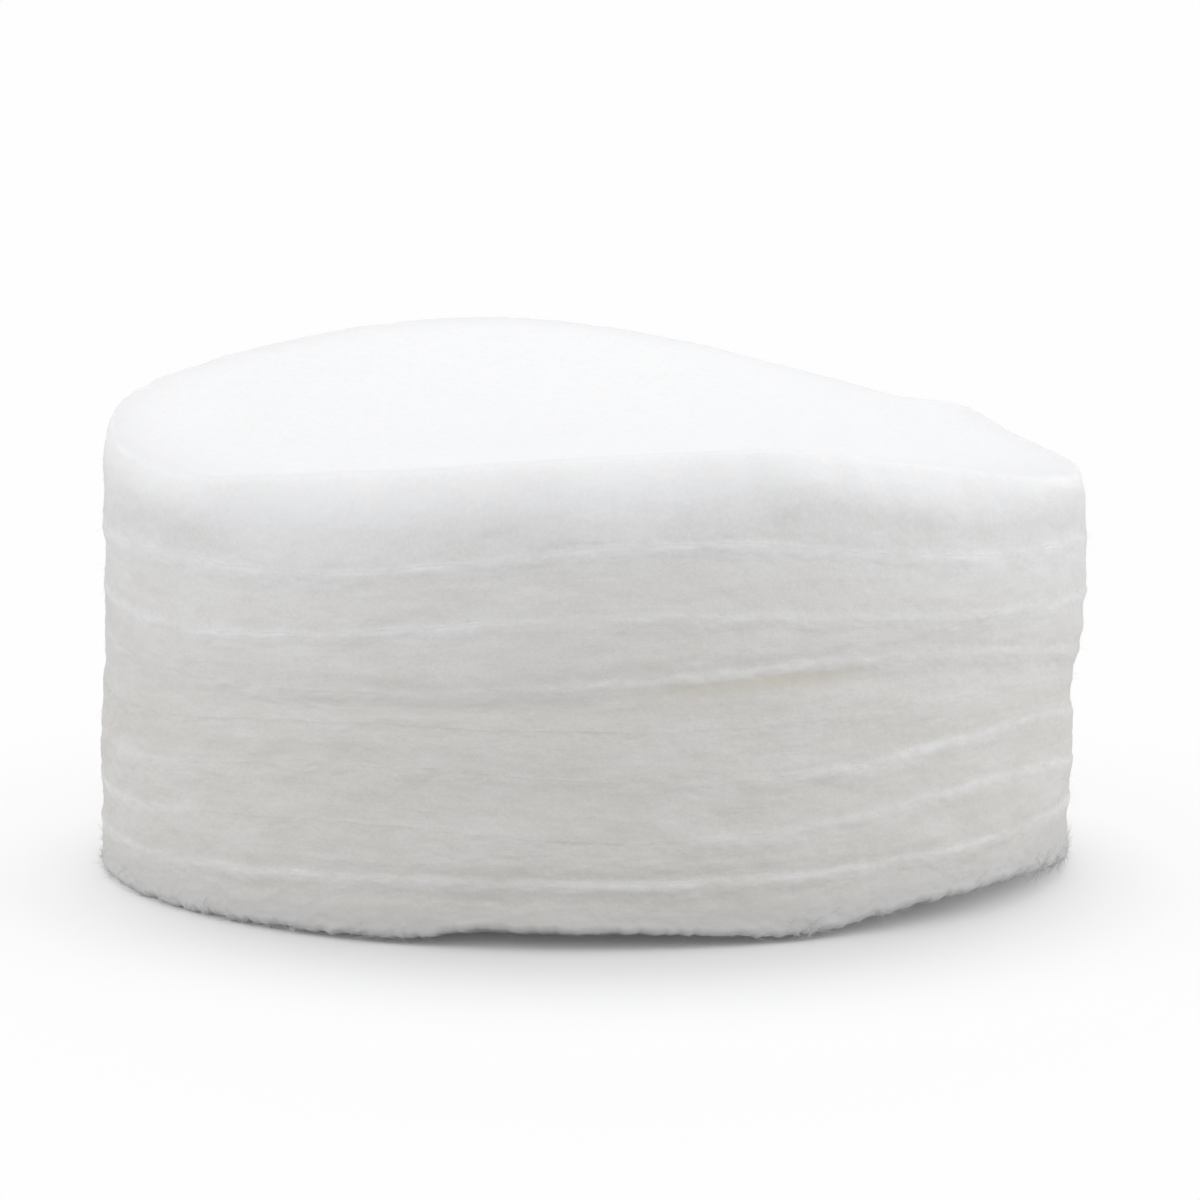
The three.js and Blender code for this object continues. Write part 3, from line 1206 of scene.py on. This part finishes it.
def make_world(settings):
    """A soft dome, brighter to the sides and in front, that is plain white to the camera."""
    world = bpy.data.worlds.new("studio dome")
    world.use_nodes = True
    graph = Graph(world.node_tree)
    direction = graph.node("ShaderNodeTexCoord", output="Generated")
    across = graph.node("ShaderNodeSeparateXYZ", {0: direction})
    above = graph.math("MAXIMUM", across.output("Z"), 0.0)
    dome = settings.horizon + (settings.zenith - settings.horizon) * above
    sideways = across * across
    beside = settings.sides * sideways * sideways
    dome += settings.right * across - settings.front * across.output("Y") + beside
    lit = graph.node("ShaderNodeBackground", {"Color": opaque(settings.dome_tint), "Strength": dome})
    white = graph.node("ShaderNodeBackground", {"Color": (1, 1, 1, 1), "Strength": 1.0})
    surface = graph.mix_shader(seen_plainly(graph), lit, white)
    graph.node("ShaderNodeOutputWorld", {"Surface": surface})
    bpy.context.scene.world = world


def turn_to(thing, target):
    thing.rotation_euler = (Vector(target) - thing.location).to_track_quat("-Z", "Y").to_euler()


def make_key(settings):
    """A wide soft lamp, above and a little behind."""
    lamp = bpy.data.lights.new("key", "AREA")
    lamp.shape = "DISK"
    lamp.size = settings.key_width
    lamp.energy = settings.key_power
    key = link("key", lamp)
    key.location = settings.key_place
    turn_to(key, settings.aim)


def make_camera(settings):
    camera = link("camera", bpy.data.cameras.new("camera"))
    camera.data.lens = settings.lens
    back = Vector((0, -math.cos(settings.elevation), math.sin(settings.elevation)))
    camera.location = Vector(settings.aim) + back * settings.distance
    turn_to(camera, settings.aim)
    bpy.context.scene.camera = camera


class COTTON_OT_set_stage(bpy.types.Operator):
    """Sets the floor, the lamps, the dome and the camera."""

    bl_idname = "cotton.set_stage"
    bl_label = "Set stage"

    def execute(self, context):
        settings = context.scene.cotton_stage
        make_floor(settings)
        make_world(settings)
        make_key(settings)
        make_camera(settings)
        context.scene.view_settings.view_transform = "Standard"
        return {"FINISHED"}


class COTTON_PT_stack(bpy.types.Panel):
    """The stack's settings and the steps that build it."""

    bl_idname = "COTTON_PT_stack"
    bl_label = "Cotton pad stack"
    bl_space_type = "VIEW_3D"
    bl_region_type = "UI"
    bl_category = "Cotton"

    def draw(self, context):
        steps = (
            (COTTON_OT_make_pads, context.scene.cotton_pads),
            (COTTON_OT_grow_fuzz, context.scene.cotton_fuzz),
            (COTTON_OT_set_stage, context.scene.cotton_stage),
        )
        for operator, settings in steps:
            box = self.layout.box()
            box.operator(operator.bl_idname)
            for name in settings.__annotations__:
                box.prop(settings, name)


SETTINGS = {"cotton_pads": PadSettings, "cotton_fuzz": FuzzSettings, "cotton_stage": StageSettings}
OPERATORS = (COTTON_OT_make_pads, COTTON_OT_grow_fuzz, COTTON_OT_set_stage)
CLASSES = (*SETTINGS.values(), *OPERATORS, COTTON_PT_stack)


def register():
    for kind in CLASSES:
        bpy.utils.register_class(kind)
    for name, kind in SETTINGS.items():
        setattr(bpy.types.Scene, name, PointerProperty(type=kind))


def unregister():
    for name in SETTINGS:
        delattr(bpy.types.Scene, name)
    for kind in reversed(CLASSES):
        bpy.utils.unregister_class(kind)


def main():
    register()
    bpy.ops.cotton.make_pads()
    bpy.ops.cotton.grow_fuzz()
    bpy.ops.cotton.set_stage()


if __name__ == "__main__":
    main()
